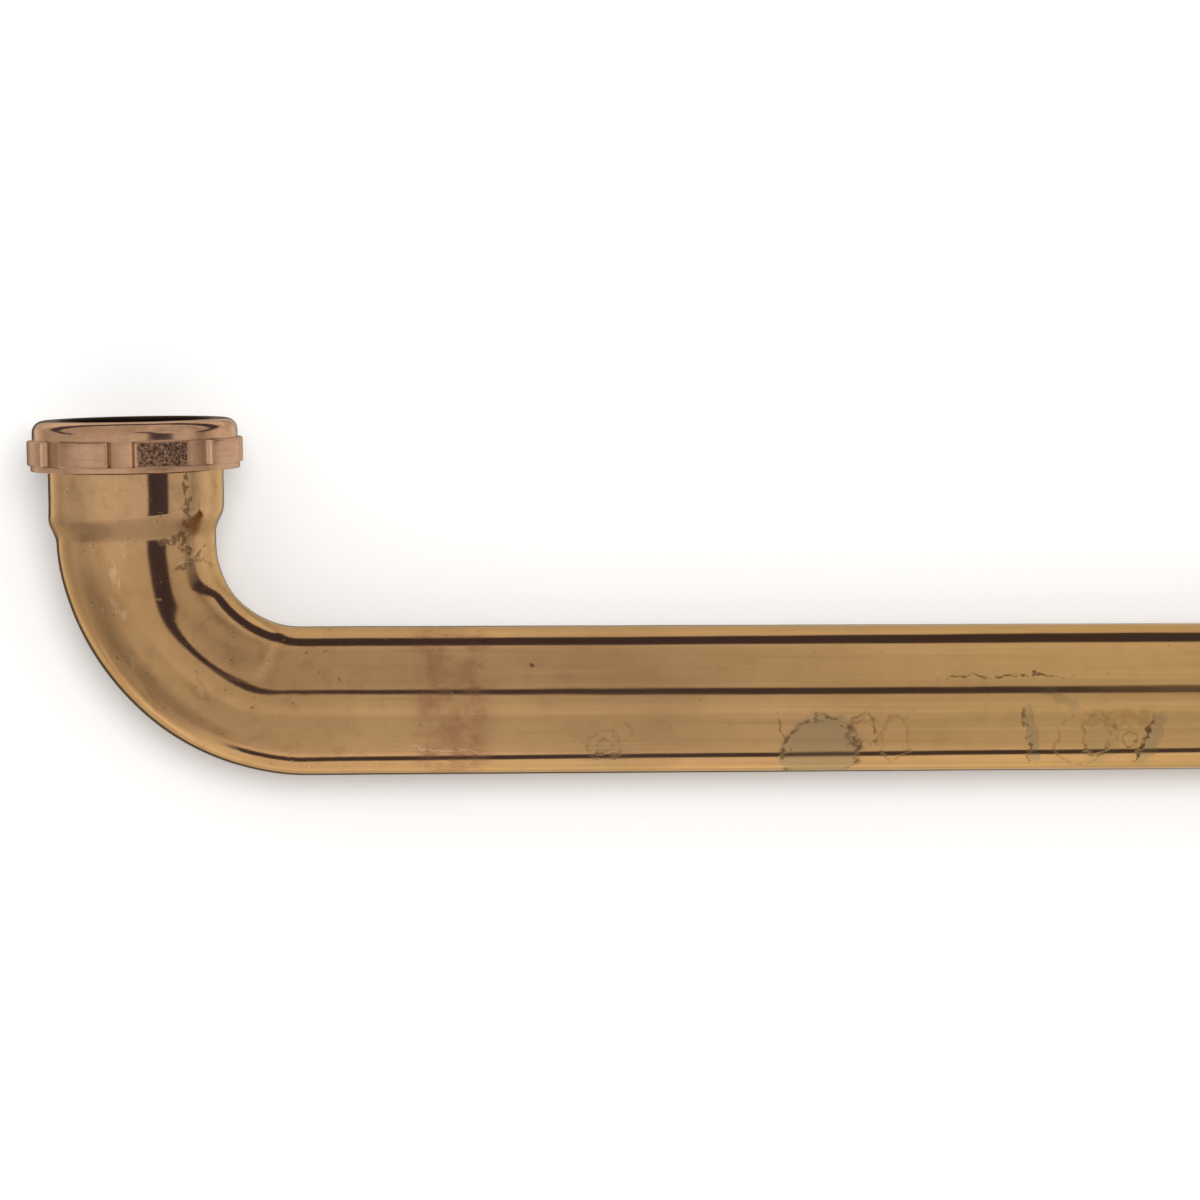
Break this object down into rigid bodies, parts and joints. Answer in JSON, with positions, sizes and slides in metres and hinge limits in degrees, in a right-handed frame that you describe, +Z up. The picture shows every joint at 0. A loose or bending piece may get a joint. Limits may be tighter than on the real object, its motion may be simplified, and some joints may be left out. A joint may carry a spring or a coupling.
{
  "type": "waste arm",
  "caption": "Brass tubular waste arm: a long plain-ended tube bent up into an expanded slip-joint socket with a lugged slip nut and rubber washer.",
  "frame": {"origin": "middle of the resting arm's bounding box, on the surface that it lies on", "axes": "+X along the straight run towards the plain outlet end, +Z up from the surface; the inlet leg points along +Y, tipped up by 7.65 degrees and leaning 1.2 degrees towards -X"},
  "size_m": [0.4098, 0.0936, 0.0552],
  "materials": {
    "tube_brass": "rough mill-finish brass tube, lightly tarnished and stained",
    "nut_brass": "as-cast brass, pinkish, rough on one panel",
    "washer_rubber": "matt black rubber"
  },
  "bodies": {
    "tube": {"waste_tube": "tube_brass"},
    "washer": {"slip_washer": "washer_rubber"},
    "nut": {"slip_nut": "nut_brass"}
  },
  "joints": [
    {"name": "nut_travel", "type": "slide", "parent": "tube", "child": "washer", "axis": [-0.0209, 0.9909, 0.1331], "range_m": [0, 0.00718]},
    {"name": "nut_turn", "type": "hinge", "parent": "washer", "child": "nut", "pos_m": [-0.17761, 0.04371, 0.02865], "axis": [-0.0209, 0.9909, 0.1331], "range_deg": [0, 1170]}
  ],
  "couplings": [
    {"joint": "nut_travel", "follows": "nut_turn", "m_per_rad": 0.00035152}
  ]
}
